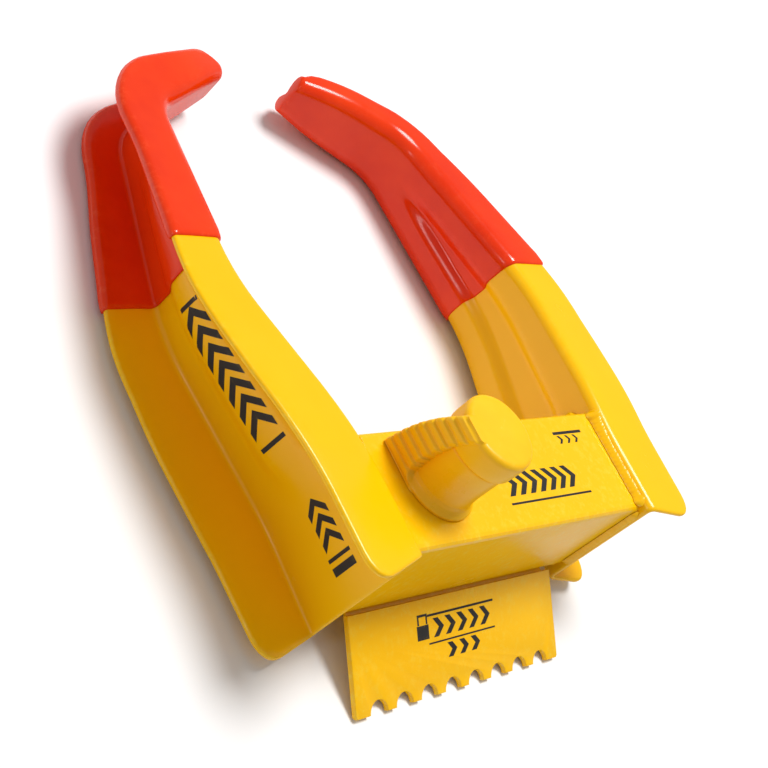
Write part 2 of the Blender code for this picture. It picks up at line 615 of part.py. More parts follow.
# Boot: a moulded rubber sleeve over the housing, with a lip at its foot and a ribbed pad down its left side.
boot_profile = [
    (BOOT_RADIUS + 3.2 * MM, BODY_FRONT + GAP),
    (BOOT_RADIUS + 3.4 * MM, BODY_FRONT + 1.4 * MM),
    (BOOT_RADIUS + 2.4 * MM, BODY_FRONT + 2.8 * MM),
    (BOOT_RADIUS + 0.9 * MM, BODY_FRONT + 4.2 * MM),
    (BOOT_RADIUS + 0.1 * MM, BODY_FRONT + 8 * MM),
    (BOOT_RADIUS - 0.2 * MM, CAP_FROM - 16 * MM),
    (BOOT_RADIUS + 0.2 * MM, CAP_FROM - 0.8 * MM),
    (BOOT_RADIUS - 0.6 * MM, CAP_FROM - GAP),
]
cap_profile = [
    (CAP_RADIUS - 1.2 * MM, CAP_FROM),
    (CAP_RADIUS - 0.4 * MM, CAP_FROM + MM),
    (CAP_RADIUS, CAP_TO - 3.2 * MM),
    (CAP_RADIUS - 0.5 * MM, CAP_TO - 1.2 * MM),
    (CAP_RADIUS - 1.8 * MM, CAP_TO),
]


def pad(low, high, inner):
    """The ribbed pad between two levels, as a block that runs into the round part as far as inner."""
    pitch = (CAP_TO - BODY_FRONT - 2 * MM) / RIBS
    levels = [low, high]
    for i in range(RIBS):
        levels += [BODY_FRONT + MM + pitch * (i + share) for share in (0.0, *RIB_CREST, 0.94)]
    bm = bmesh.new()
    loops = []
    for level in sorted(v for v in levels if low <= v <= high):
        share = (level - BODY_FRONT) / (CAP_TO - BODY_FRONT)
        place = ((level - BODY_FRONT - MM) / pitch) % 1.0
        on_crest = RIB_CREST[0] - 0.01 < place < RIB_CREST[1] + 0.01
        out = PAD_OUT + PAD_LEAN * share ** 2 + (0 if on_crest else RIB_HIGH)
        top = between(PAD_TOP, level)
        foot = between(PAD_FOOT, level)
        loops.append([
            (out, foot + PAD_SOFT, level),
            (out, top - PAD_SOFT, level),
            (out + PAD_SOFT, top, level),
            (inner, top - 2 * PAD_SOFT, level),
            (inner, foot, level),
            (out + PAD_SOFT, foot, level),
        ])
    loft(bm, loops)
    return bm


boot = node("lock_boot", turned(boot_profile, LOCK_X, LOCK_Y), RUBBER, 50)
cut(boot, node("boot_pad", pad(BODY_FRONT + GAP, CAP_FROM - GAP, LOCK_X - 6 * MM), None), "UNION")
cut(boot, drill("boot_bore", HOUSING_RADIUS + GAP, LOCK_X, LOCK_Y, BODY_FRONT - MM, CAP_FROM + MM))
cap = node("dust_cap", turned(cap_profile, LOCK_X, LOCK_Y), RUBBER, 50)
cut(cap, node("cap_pad", pad(CAP_FROM, CAP_TO, LOCK_X - 8 * MM), None), "UNION")
hollow_profile = [(HOUSING_RADIUS + 0.6 * MM, CAP_FROM - MM), (HOUSING_RADIUS + 0.2 * MM, CAP_FROM + 5 * MM)]
cut(cap, node("cap_hollow", turned(hollow_profile, LOCK_X, LOCK_Y), None))

# Rest: the whole tips about X until the bite plate's teeth and the fingers' backs both touch the floor.
bpy.context.view_layer.update()
graph = bpy.context.evaluated_depsgraph_get()
points = []
for made in bpy.context.scene.collection.objects:
    if made.hide_render:
        continue
    shape = made.evaluated_get(graph)
    mesh = shape.to_mesh()
    points += [corner.co.to_tuple() for corner in mesh.vertices]
    shape.to_mesh_clear()
points = np.array(points)
teeth = points[points[:, 1] < BODY_LOW - BITE_LENGTH / 2]
tooth = teeth[np.argmin(teeth[:, 2])]
beyond = points[points[:, 1] > DIP_LEVEL[1]]
tip = float(np.min(np.arctan2(beyond[:, 2] - tooth[2], beyond[:, 1] - tooth[1])))
turn = Matrix.Rotation(-tip, 4, "X")
tipped = points @ np.array(turn.to_3x3()).T
low_corner = tipped.min(axis=0)
high_corner = tipped.max(axis=0)
middle = (low_corner + high_corner) / 2
rest = bpy.data.objects.new("rest_frame", None)
pieces = list(bpy.context.scene.collection.objects)
bpy.context.scene.collection.objects.link(rest)
rest.matrix_world = Matrix.Translation((-middle[0], -middle[1], -low_corner[2])) @ turn
for made in pieces:
    made.parent = rest
bpy.context.view_layer.update()
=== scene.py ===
"""Wheel chock lock in yellow enamel with red dipped arms, shown lying on a pale studio floor."""

import json
import math

import bmesh
import bpy
import numpy as np
from mathutils import Matrix, Vector, noise


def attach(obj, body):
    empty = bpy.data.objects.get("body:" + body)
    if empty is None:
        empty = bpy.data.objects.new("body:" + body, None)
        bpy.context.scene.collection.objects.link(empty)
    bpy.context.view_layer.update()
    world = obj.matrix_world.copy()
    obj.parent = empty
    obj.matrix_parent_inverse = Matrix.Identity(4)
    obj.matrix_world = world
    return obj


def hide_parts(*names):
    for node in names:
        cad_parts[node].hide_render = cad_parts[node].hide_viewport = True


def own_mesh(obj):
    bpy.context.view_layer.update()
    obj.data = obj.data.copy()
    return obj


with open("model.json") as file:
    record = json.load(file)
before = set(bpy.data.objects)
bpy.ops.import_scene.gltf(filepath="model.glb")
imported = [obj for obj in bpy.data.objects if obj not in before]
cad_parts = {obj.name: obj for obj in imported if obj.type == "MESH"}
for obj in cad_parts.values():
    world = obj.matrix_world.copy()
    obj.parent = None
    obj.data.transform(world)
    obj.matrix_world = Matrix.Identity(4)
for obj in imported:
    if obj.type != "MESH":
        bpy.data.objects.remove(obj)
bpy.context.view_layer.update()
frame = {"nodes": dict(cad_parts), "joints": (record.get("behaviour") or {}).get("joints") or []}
nodes = frame["nodes"]
MM = 0.001

# The lock is laid out square to its body: X across between the arms, Y along them, Z out of the lock face.
# Resting on its teeth and fingertips tips that layout by the slant of the lock's own axis.
LOCK_X, LOCK_Y = -58.0, 34.0
LOCK_PLACE = Vector((LOCK_X, LOCK_Y, 15)) * MM      # where the key turns, in the square layout
key_joint = next(j for j in frame["joints"] if j["name"] == "key_turn")
lean = math.atan2(key_joint["axis"][1], key_joint["axis"][2])
tipped = Matrix.Rotation(-lean, 4, "X")
laid_down = Matrix.Translation(Vector(key_joint["pos_m"]) - tipped @ LOCK_PLACE) @ tipped


# Yellow enamel: powder coat baked on the pressed steel of the arms, body and bite plate. It is thick and
# glossy, with a faint orange-peel skin, deeper in tone where it pools and rubbed thin on the edges' crests.
SHINE, SHINE_SLANTED = 0.32, 0.02       # how strongly a coat reflects face on, and where it slants away


def finish(name, colour, roughness, metallic=0.0):
    """A new material and its shader, set to one colour, roughness and metallic value."""
    made = bpy.data.materials.new(name)
    made.use_nodes = True
    shader = made.node_tree.nodes["Principled BSDF"]
    shader.inputs["Base Color"].default_value = (*colour, 1)
    shader.inputs["Roughness"].default_value = roughness
    shader.inputs["Metallic"].default_value = metallic
    return made, shader


def wire(made, kind, settings=None, **sockets):
    """Adds a shader node. A socket goes by its name, or by i and its number, and takes a value or output."""
    added = made.node_tree.nodes.new(kind)
    for key, value in (settings or {}).items():
        setattr(added, key, value)
    for key, value in sockets.items():
        socket = added.inputs[int(key[1:])] if key[0] == "i" and key[1:].isdigit() else added.inputs[key]
        if isinstance(value, bpy.types.NodeSocket):
            made.node_tree.links.new(value, socket)
        else:
            socket.default_value = value
    return added


def tone_ramp(made, source, stops):
    """A colour ramp fed by source; stops are (place, colour or grey)."""
    ramp = wire(made, "ShaderNodeValToRGB", None, i0=source)
    elements = ramp.color_ramp.elements
    while len(elements) < len(stops):
        elements.new(0.5)
    for element, (place, tone) in zip(elements, stops):
        element.position = place
        element.color = (*tone, 1) if isinstance(tone, tuple) else (tone, tone, tone, 1)
    return ramp.outputs["Color"]


def link(made, output, socket):
    made.node_tree.links.new(output, socket)


def coated(name, deep, plain, rubbed, roughness, peel_size, peel_depth, mottle_size=9.0):
    """A sprayed or dipped coat: broad drifts of tone, worn crests, and a fine rippled skin."""
    made, shader = finish(name, plain, roughness)
    slant = wire(made, "ShaderNodeLayerWeight", None, Blend=0.5).outputs["Facing"]
    sheen = wire(made, "ShaderNodeMapRange", None, i0=slant, i1=0.45, i2=0.75, i3=SHINE,
                 i4=SHINE_SLANTED)
    link(made, sheen.outputs[0], shader.inputs["Specular IOR Level"])
    place = wire(made, "ShaderNodeTexCoord").outputs["Object"]
    drift = wire(made, "ShaderNodeTexNoise", None, Vector=place, Scale=mottle_size, Detail=4.0,
                 Roughness=0.6)
    tones = tone_ramp(made, drift.outputs["Fac"], [(0.30, deep), (0.62, plain)])
    crest = wire(made, "ShaderNodeNewGeometry").outputs["Pointiness"]
    crest = tone_ramp(made, crest, [(0.505, 0.0), (0.56, 1.0)])
    scuff = wire(made, "ShaderNodeTexNoise", None, Vector=place, Scale=220.0, Detail=6.0, Roughness=0.75)
    scuff = tone_ramp(made, scuff.outputs["Fac"], [(0.50, 0.0), (0.66, 1.0)])
    worn = wire(made, "ShaderNodeMath", {"operation": "MULTIPLY"}, i0=crest, i1=scuff).outputs[0]
    mix = wire(made, "ShaderNodeMix", {"data_type": "RGBA"}, i0=worn, i6=tones, i7=(*rubbed, 1))
    link(made, mix.outputs[2], shader.inputs["Base Color"])
    hazed = wire(made, "ShaderNodeTexNoise", None, Vector=place, Scale=26.0, Detail=5.0, Roughness=0.7)
    gloss = wire(made, "ShaderNodeMapRange", None, i0=hazed.outputs["Fac"], i1=0.35, i2=0.70,
                 i3=roughness * 0.75, i4=roughness * 1.45)
    link(made, gloss.outputs[0], shader.inputs["Roughness"])
    peel = wire(made, "ShaderNodeTexNoise", None, Vector=place, Scale=peel_size, Detail=2.0, Roughness=0.5)
    bump = wire(made, "ShaderNodeBump", None, Strength=0.35, Distance=peel_depth, Height=peel.outputs["Fac"])
    link(made, bump.outputs["Normal"], shader.inputs["Normal"])
    return made


enamel = coated("yellow_enamel", (0.95, 0.50, 0.0), (0.98, 0.545, 0.001), (0.95, 0.62, 0.04),
                0.20, 420.0, 0.00006)


# Arms: one pressed 3 mm steel channel on each side, its web dished by a long trough and both flanges turned
# outwards. The cut edges are rounded over, and the arm bows out round the tyre before its finger bends in.
HALF_GAP = 95.0
STEEL = 3.0
ARM_LINE = [(0, 0), (0, 50), (18.3, 146), (-2.4, 254), (-64, 286)]
ARM_BENDS = [150, 100, 26]
WEB_FRONT = [(0, 0), (75, 0), (255, -19), (300, -19), (335, -26)]
WEB_BACK = [(0, -77), (45, -75), (255, -57), (300, -52), (335, -44)]
FRONT_FLANGE = [(0, 35.5), (60, 36.5), (105, 35), (150, 31.5), (162, 29), (240, 24), (262, 19), (335, 12)]
BACK_FLANGE = [(0, 35.5), (60, 40.5), (105, 39.5), (150, 33.5), (162, 30), (215, 25), (250, 22), (280, 16),
               (335, 12)]
ARM_DIFFERS = {
    1: ([(215, 0), (240, -2.5), (262, -4.5), (335, -4)], [(0, -3.5), (40, -3.5), (70, 0)]),
    -1: ([(225, 0), (250, 4), (268, 3.5), (300, 0.5)], [(205, 0), (235, -2), (262, 0)]),
}
BEND_RADIUS = [(0, 3.5), (120, 4.5), (240, 6), (290, 5), (335, 3)]
TROUGH_DEPTH = [(58, 0), (72, 4), (210, 4), (236, 0)]
TROUGH_HALF = [(58, 14), (72, 17), (160, 12), (236, 7), (290, 2), (335, 1.2)]
TROUGH_LEVEL = [(0, -38), (255, -38), (335, -33)]
WEB_EASE, FLANGE_EASE, TROUGH_EASE = 12, 9, 8       # how gently each dimension changes along the arm
TROUGH_RAMP = 8.0                                   # width of the slopes down the trough's sides
FLANGE_SLOPE = math.tan(math.radians(14))           # the foot's cut slants back towards the flanges' rims
SLOPE_RUN = 45                                      # and is square to the arm again after this length
FOOT_ROUND, TIP_ROUND = 12.0, 9.0
LEAST_FLANGE = 0.3                                  # what is left of a flange beyond its bend, at least
FLANGE_STEPS, BEND_STEPS, WEB_STEPS, RIM_STEPS = 5, 7, 24, 6


def reading(table, along, ease=0.0):
    """A dimension along the arm, in mm; ease blends the places where the rate changes."""
    places, values = zip(*table)
    around = [along + ease * share for share in (-1.0, -0.5, 0.0, 0.5, 1.0)] if ease else [along]
    return float(np.mean(np.interp(around, places, values)))


def bent_line(corners, radii, fine=math.radians(3)):
    """Straight runs joined by arcs, as (length so far, point, heading)."""
    corners = [Vector(c) for c in corners]
    stops = [(0.0, corners[0], (corners[1] - corners[0]).normalized())]
    reached, here = 0.0, corners[0]
    for before, corner, after, radius in zip(corners, corners[1:], corners[2:], radii):
        into, out = (corner - before).normalized(), (after - corner).normalized()
        turn = into.angle_signed(out)
        cut_back = radius * math.tan(abs(turn) / 2)
        start = corner - into * cut_back
        reached += (start - here).length
        hub = start + Vector((-into.y, into.x)) * (-radius if turn > 0 else radius)
        steps = max(4, round(abs(turn) / fine))
        for i in range(steps + 1):
            swing = Matrix.Rotation(-turn * i / steps, 2)
            length = reached + radius * abs(turn) * i / steps
            stops.append((length, hub + swing @ (start - hub), swing @ into))
        reached += radius * abs(turn)
        here = corner + out * cut_back
    stops.append((reached + (corners[-1] - here).length, corners[-1], (corners[-1] - here).normalized()))
    return stops


arm_stops = bent_line(ARM_LINE, ARM_BENDS)
ARM_LENGTH = arm_stops[-1][0]


def on_arm(along):
    """Point and heading at this length along the arm's line, in mm."""
    along = min(max(along, 0.0), ARM_LENGTH)
    lengths = [s[0] for s in arm_stops]
    i = min(max(int(np.searchsorted(lengths, along)), 1), len(arm_stops) - 1)
    (first, p, d), (second, q, e) = arm_stops[i - 1], arm_stops[i]
    share = (along - first) / max(second - first, 1e-9)
    return p.lerp(q, share), d.lerp(e, share).normalized()


def quarter_cut(width, distance, radius):
    """A flange's width this far from the arm's end, where a quarter round takes its corner off."""
    if distance >= radius:
        return width
    return width - radius + math.sqrt(max(0.0, radius * radius - (radius - distance) ** 2))


def soft_step(x):
    """0 up to x = 0, 1 from x = 1, and an even curve between."""
    x = min(max(x, 0.0), 1.0)
    return x * x * (3 - 2 * x)


def trough_rise(along, level):
    """How far the trough stands out of the web here, in mm."""
    depth = reading(TROUGH_DEPTH, along, TROUGH_EASE)
    spread = reading(TROUGH_HALF, along, TROUGH_EASE)
    middle = reading(TROUGH_LEVEL, along, TROUGH_EASE)
    return depth * soft_step((spread - abs(level - middle)) / min(TROUGH_RAMP, spread))


def channel_middle(along, side):
    """The middle of the pressed plate, from front rim to back rim, as (outward, level) in mm."""
    half = STEEL / 2
    front = reading(WEB_FRONT, along, WEB_EASE) - half
    back = reading(WEB_BACK, along, WEB_EASE) + half
    radius = reading(BEND_RADIUS, along, WEB_EASE)
    widths = []
    for table, differs in zip((FRONT_FLANGE, BACK_FLANGE), ARM_DIFFERS[side]):
        width = reading(table, along, FLANGE_EASE) + reading(differs, along, FLANGE_EASE)
        width = quarter_cut(width, along, FOOT_ROUND)
        width = quarter_cut(width, ARM_LENGTH - along, TIP_ROUND)
        widths.append(max(width, half + radius + LEAST_FLANGE))
    points = []
    for i in range(FLANGE_STEPS):
        points.append((widths[0] + (half + radius - widths[0]) * i / FLANGE_STEPS, front))
    for i in range(BEND_STEPS + 1):
        a = math.pi / 2 * i / BEND_STEPS
        points.append((half + radius - radius * math.sin(a), front - radius + radius * math.cos(a)))
    high, low = front - radius, back + radius
    for i in range(1, WEB_STEPS):
        level = high + (low - high) * i / WEB_STEPS
        points.append((half + trough_rise(along, level), level))
    for i in range(BEND_STEPS + 1):
        a = math.pi / 2 * i / BEND_STEPS
        points.append((half + radius - radius * math.cos(a), low - radius * math.sin(a)))
    for i in range(FLANGE_STEPS - 1, -1, -1):
        points.append((widths[1] + (half + radius - widths[1]) * i / FLANGE_STEPS, back))
    return [Vector(p) for p in points]


def rimmed(line, half):
    """A closed section at this distance from the line, with half-round rims."""
    near, far = [], []
    for i, point in enumerate(line):
        run = (line[min(i + 1, len(line) - 1)] - line[max(i - 1, 0)]).normalized()
        across = Vector((-run.y, run.x)) * half
        near.append(point + across)
        far.append(point - across)
    rims = []
    for point, away in ((line[-1], line[-1] - line[-2]), (line[0], line[0] - line[1])):
        away = away.normalized()
        turned_away = Vector((-away.y, away.x))
        rims.append([point + (turned_away * math.cos(a) + away * math.sin(a)) * half
                     for a in (math.pi * k / RIM_STEPS for k in range(1, RIM_STEPS))])
    return near + rims[0] + far[::-1] + rims[1]


def arm_ring(along, half, side):
    """A closed section of the arm in metres; its faces stand this half thickness from the plate's middle."""
    point, heading = on_arm(along)
    outward = Vector((heading.y, -heading.x))
    fade = max(0.0, 1 - along / SLOPE_RUN)
    ring = []
    for out, level in rimmed(channel_middle(along, side), half):
        at = point + outward * out - heading * (out * FLANGE_SLOPE * fade)
        ring.append(Vector((side * (HALF_GAP + at.x), at.y, level)) * MM)
    return ring


def skin(bm, rings, close_start=True, close_end=True):
    """Faces between rings of points, closed at the ends; returns the rings as vertices."""
    made = [[bm.verts.new(p) for p in ring] for ring in rings]
    for first, second in zip(made, made[1:]):
        for i in range(len(first)):
            j = (i + 1) % len(first)
            bm.faces.new((first[i], first[j], second[j], second[i]))
    if close_start:
        bm.faces.new(made[0][::-1])
    if close_end:
        bm.faces.new(made[-1])
    return made


def joined(bm, first, second):
    """Faces between two rings of vertices."""
    for i in range(len(first)):
        j = (i + 1) % len(first)
        bm.faces.new((first[i], second[i], second[j], first[j]))


def piece(name, bm, material, body, stands_for=(), sharp=60):
    """The mesh as a piece of the lock, laid down in its place, riding on its body."""
    bmesh.ops.transform(bm, matrix=laid_down, verts=bm.verts)
    bmesh.ops.recalc_face_normals(bm, faces=bm.faces)
    mesh = bpy.data.meshes.new(name)
    bm.to_mesh(mesh)
    bm.free()
    mesh.materials.append(material)
    mesh.shade_smooth()
    mesh.set_sharp_from_angle(angle=math.radians(sharp))
    made = bpy.data.objects.new(name, mesh)
    bpy.context.scene.collection.objects.link(made)
    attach(made, body)
    if stands_for:
        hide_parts(*stands_for)
    return made


ARM_SIDES = {"right": (1, "frame_side"), "left": (-1, "sliding_side")}
FOOT_EDGE = [(0.0, 0.35), (0.12, 0.75), (0.45, 1.1), (0.9, 1.35), (1.5, 1.5)]  # distance in, half thickness
TIP_EDGE = [(6, 1.5), (3, 1.5), (1, 1.3), (0, 0.5)]
STATION_FROM, STATION_PITCH = 16.0, 3.5
round_stations = [FOOT_ROUND * (1 - math.cos(math.radians(a))) for a in (38, 48, 60, 75, 90)]
arm_stations = round_stations + list(np.arange(STATION_FROM, ARM_LENGTH - 10, STATION_PITCH))
for name, (side, body) in ARM_SIDES.items():
    bm = bmesh.new()
    rings = [arm_ring(s, half, side) for s, half in FOOT_EDGE]
    rings += [arm_ring(s, STEEL / 2, side) for s in arm_stations]
    rings += [arm_ring(ARM_LENGTH - back, half, side) for back, half in TIP_EDGE]
    skin(bm, rings)
    piece(f"{name}_arm_channel", bm, enamel, body, (f"{name}_arm",))


# Dipped grips: the arm's upper half is hung in melted red vinyl, which cools to a thick soft skin that thins
# out to an edge at the dip line. It pads the steel where it meets the wheel.
vinyl = coated("red_vinyl", (0.74, 0.026, 0.001), (0.86, 0.046, 0.001), (0.88, 0.08, 0.02),
               0.16, 160.0, 0.00012, 14.0)
COAT_SKIN = STEEL / 2 + 1.8
COAT_INSIDE = STEEL / 2 + 0.05
DIP_START = {1: (160.0, 0.0), -1: (164.0, 0.05)}    # along the arm at its back, and the climb to its front
DIP_REACH = 160.0                                   # the first section of the coat, before it is moved
DIP_SETTLE = 30                                     # the sections are square to the arm again after this
DIP_BACK_LEVEL, DIP_WANDER = -0.066, 0.0007         # in metres
COAT_EDGE = [(0.0, 1.62), (0.05, 1.95), (0.35, 2.35), (1.0, 2.75), (2.2, 3.0), (4.0, 3.15), (7.0, COAT_SKIN)]
COAT_NOSE = [(0.8, 0.97), (1.6, 0.88), (2.2, 0.70), (2.5, 0.42), (2.6, 0.15)]  # distance past tip, share


def dip_ring(along, half, side):
    """A section of the coat; close to its start it follows the dip line instead of the arm's square cut."""
    start, tilt = DIP_START[side]
    ring = arm_ring(along, half, side)
    ahead = arm_ring(along + 2, half, side)
    settle = max(0.0, 1 - (along - DIP_REACH) / DIP_SETTLE)
    moved = []
    for at, after in zip(ring, ahead):
        run = (after - at).normalized()
        wander = noise.noise(at * 60 + Vector((side, 0, 0))) * DIP_WANDER
        aim = start * MM + tilt * (at.z - DIP_BACK_LEVEL) + (along - DIP_REACH) * MM + wander
        moved.append(at + run * (aim - at.y) / max(run.y, 0.3) * settle)
    return moved


for name, (side, body) in ARM_SIDES.items():
    bm = bmesh.new()
    outer = [dip_ring(DIP_REACH + s, half, side) for s, half in COAT_EDGE]
    outer += [dip_ring(s, COAT_SKIN, side) for s in np.arange(DIP_REACH + 11, ARM_LENGTH - 7, 3.0)]
    outer += [arm_ring(ARM_LENGTH - back, COAT_SKIN, side) for back in (5.0, 3.0, 1.0)]
    point, heading = on_arm(ARM_LENGTH)
    nose = Vector((side * heading.x, heading.y, 0)) * MM
    last = arm_ring(ARM_LENGTH, COAT_SKIN, side)
    middle = sum(last, Vector()) / len(last)
    for run, share in COAT_NOSE:
        outer.append([middle + (p - middle) * share + nose * run for p in last])
    inner = [dip_ring(DIP_REACH + s, COAT_INSIDE, side) for s in (0.0, 6.0)]
    inner += [dip_ring(s, COAT_INSIDE, side) for s in np.arange(DIP_REACH + 12, ARM_LENGTH - 4, 8.0)]
    made = skin(bm, outer, close_start=False)
    hollow = skin(bm, inner, close_start=False)
    joined(bm, made[0], hollow[0])
    piece(f"{name}_dipped_grip", bm, vinyl, body, (f"{name}_arm_dip",), 75)


# Body: a square tube with softened corners, cut from drawn section and coated after welding. The slide tube
# runs inside it. Its shape stays as built, with a fine round on the cut edges.
def edged(node, width, steps=2):
    """A small round on the sharp edges of a carried part, as the coat leaves them."""
    join = node.modifiers.new("joined", "WELD")
    join.merge_threshold = 1e-6
    rounding = node.modifiers.new("rounded", "BEVEL")
    rounding.width = width
    rounding.segments = steps
    rounding.limit_method = "ANGLE"
    rounding.angle_limit = math.radians(50)
    rounding.harden_normals = True


def carried(names, material, width=0.0):
    """Parts that keep their built shape take this material, and a round of this width on their edges."""
    for name in names:
        nodes[name].data.materials.clear()
        nodes[name].data.materials.append(material)
        if width:
            edged(nodes[name], width)


carried(["body"], enamel, 0.0004)
BODY_LOW, BODY_HIGH = 3.2, 61.7
BODY_BACK, BODY_FRONT = -66.0, -5.0
BODY_ROUND = 3.0
CLEAR = 0.3             # between parts that touch


# Bite plate: 3 mm plate with eight round notches punched along its lower edge, leaning back under the body.
# The punched teeth keep sharp points; the coat rounds the rest.
BITE_LEFT, BITE_RIGHT = -82.6, 81.6
BITE_LENGTH, BITE_THICK = 46.5, 3.0
BITE_LEAN = math.radians(27.6)
NOTCHES, NOTCH_PITCH, NOTCH_RADIUS, NOTCH_STEPS = 8, 18.8, 6.2, 20
PLATE_LAYERS = [(-3.0, 0.45), (-2.85, 0.15), (-2.55, 0.0), (-0.45, 0.0), (-0.15, 0.15), (0.0, 0.45)]
down_plate = Vector((0, -math.cos(BITE_LEAN), -math.sin(BITE_LEAN)))
through_plate = Vector((0, math.sin(BITE_LEAN), -math.cos(BITE_LEAN)))


def on_plate(x, down, into):
    """A point in metres, this far down the plate from its root and this far into it, in mm."""
    return (Vector((x, BODY_LOW - CLEAR, BODY_BACK)) + down_plate * down + through_plate * into) * MM


def plate_edge(inset):
    """The plate's outline, drawn in by this much."""
    left, right, foot = BITE_LEFT + inset, BITE_RIGHT - inset, BITE_LENGTH - inset
    outline = [(right, 1.2), (right, 0.6), (left, 0.6), (left, 1.2), (left, 12.0)]
    outline += [(left, foot - 1.0), (left + 1.0, foot)]
    first = (BITE_LEFT + BITE_RIGHT) / 2 - NOTCH_PITCH * (NOTCHES - 1) / 2
    for i in range(NOTCHES):
        for j in range(NOTCH_STEPS + 1):
            a = math.pi * (1 - j / NOTCH_STEPS)
            across = first + NOTCH_PITCH * i + (NOTCH_RADIUS + inset) * math.cos(a)
            outline.append((across, foot - NOTCH_RADIUS * math.sin(a)))
    outline += [(right - 1.0, foot), (right, foot - 1.0), (right, 12.0)]
    return outline


bm = bmesh.new()
rings = [[on_plate(x, down, into) for x, down in plate_edge(inset)] for into, inset in PLATE_LAYERS]
skin(bm, rings)
piece("bite_plate_notched", bm, enamel, "frame_side", ("bite_plate",), 35)


# Weld beads: the right arm is welded all round to the body, and the bite plate along its root. They are laid
# by hand, with a stacked-coin ripple and a blob where the torch stopped, and coated over.
X, Y, Z = Vector((1, 0, 0)), Vector((0, 1, 0)), Vector((0, 0, 1))
BEAD_STEP, RIPPLE_PITCH, RIPPLE_DRAG = 0.45, 2.6, 0.6
BEAD_SIDES, BEAD_FLATNESS = 8, 0.20
FRONT_SEAM, TOP_SEAM, UNDER_SEAM = 57.0, 44.0, 54.0


def weld(name, stands_for, corner, first_leg, second_leg, length, size):
    """A filleted bead; corner(t) and size(t) give its root and leg in mm at t along the seam."""
    bm = bmesh.new()
    rings = []
    count = int(length / BEAD_STEP)
    for i in range(count + 1):
        t = i / count
        wave = abs(math.sin(math.pi * t * length / RIPPLE_PITCH))
        root = corner(t) + (first_leg + second_leg) * CLEAR
        uneven = 0.93 + 0.06 * wave + 0.12 * noise.noise(root * 0.31)
        leg = size(t) * uneven * min(1, 0.45 + 12 * min(t, 1 - t))
        drag = (corner(min(1, t + 0.01)) - corner(max(0, t - 0.01))).normalized()
        ring = [root * MM]
        for k in range(BEAD_SIDES + 1):
            a = math.pi / 2 * k / BEAD_SIDES
            bow = 1 - BEAD_FLATNESS * math.sin(2 * a)
            at = root + (first_leg * math.cos(a) + second_leg * math.sin(a)) * leg * bow
            ring.append((at - drag * RIPPLE_DRAG * math.sin(2 * a)) * MM)
        rings.append(ring)
    skin(bm, rings)
    piece(name, bm, enamel, "frame_side", stands_for, 80)


def arm_side(y):
    return HALF_GAP + on_arm(y)[0].x


def seam_height(t):
    return BODY_LOW + 1 + (BODY_HIGH - BODY_LOW - 2) * t


def front_corner(t):
    y = seam_height(t)
    return Vector((arm_side(y), y, BODY_FRONT))


def back_corner(t):
    return front_corner(t) + Z * (BODY_BACK - BODY_FRONT)


def top_corner(t):
    return Vector((arm_side(BODY_HIGH), BODY_HIGH, -13 - TOP_SEAM * t))


def under_corner(t):
    return Vector((HALF_GAP, BODY_LOW, -8 - UNDER_SEAM * t))


def seam_size(t):
    """The leg of the front and back beads: it fills the gap to the arm, and has a blob at each end."""
    blobs = 1.8 * math.exp(-((1 - t) / 0.06) ** 2) + 1.8 * math.exp(-(t / 0.05) ** 2)
    return 3.4 + arm_side(seam_height(t)) - HALF_GAP + blobs


weld("bead_front", ("weld_front",), front_corner, -X, Z, FRONT_SEAM, seam_size)
weld("bead_back", ("weld_back",), back_corner, -X, -Z, FRONT_SEAM, seam_size)
weld("bead_top", ("weld_top",), top_corner, -X, Y, TOP_SEAM, lambda t: 5.8)
weld("bead_under", ("weld_under",), under_corner, -X, -Y, UNDER_SEAM, lambda t: 2.8)
BITE_SEAM_STEPS, BITE_RIPPLE_STEPS = 340, 6.5
bm = bmesh.new()
rings = []
for i in range(BITE_SEAM_STEPS + 1):
    x = BITE_LEFT + 3 + (BITE_RIGHT - BITE_LEFT - 6) * i / BITE_SEAM_STEPS
    wave = abs(math.sin(math.pi * i / BITE_RIPPLE_STEPS))
    swell = 1.2 + 0.5 * wave + 0.3 * noise.noise(Vector((x * 0.3, 0, 0)))
    low, inner = on_plate(x, 3.5, CLEAR), on_plate(x, 0.7, CLEAR)
    high = Vector((x, BODY_LOW + BODY_ROUND + 0.4, BODY_BACK - CLEAR)) * MM
    crown = [high.lerp(low, s) + through_plate * swell * MM * math.sin(math.pi * s)
             for s in (0.2, 0.4, 0.6, 0.8)]
    rings.append([low, inner, high] + crown)
skin(bm, rings)
piece("bead_bite", bm, enamel, "frame_side", ("weld_bite",), 80)


# Boot and dust cap: moulded rubber over the key lock. A smooth sleeve with a lip at its foot carries the
# cap, and a ribbed thumb pad runs down the side of both, so that the cap can be pulled open.
rubber = coated("yellow_rubber", (0.95, 0.49, 0.001), (0.98, 0.55, 0.004), (0.95, 0.62, 0.06),
                0.34, 700.0, 0.00004, 30.0)
CAP_FROM, CAP_TO = 24.0, 38.0
HOUSING_RADIUS = 14.0
CAP_BORE = HOUSING_RADIUS + 0.6
RIBS, RIB_DEEP = 9, 1.1
RIB_FROM, RIB_TO, RIB_SLOPE = 0.06, 0.90, 0.18      # as shares of the ribs' pitch
PAD_OUT, PAD_LEAN, PAD_SOFT, PAD_EASE = 22.0, 2.2, 1.6, 1.5
PAD_INNER = -6.0
PAD_CROWN_FROM, PAD_CROWN = 36.6, 0.55              # where the pad's top starts to round over, and how fast
FILLET, FILLET_FILL = 2.0, 0.5                      # where the pad meets the sleeve
PAD_TOP = [(-5, 23), (8, 21), (16, 19), (24, 16), (31, 12.5), (38, 8.5)]
PAD_FOOT = [(-5, -5), (-1, 4), (8, 5), (16, 3.5), (24, 1.5), (31, -1.5), (38, -5.5)]
AROUND, LEVEL_STEP = 288, 0.42


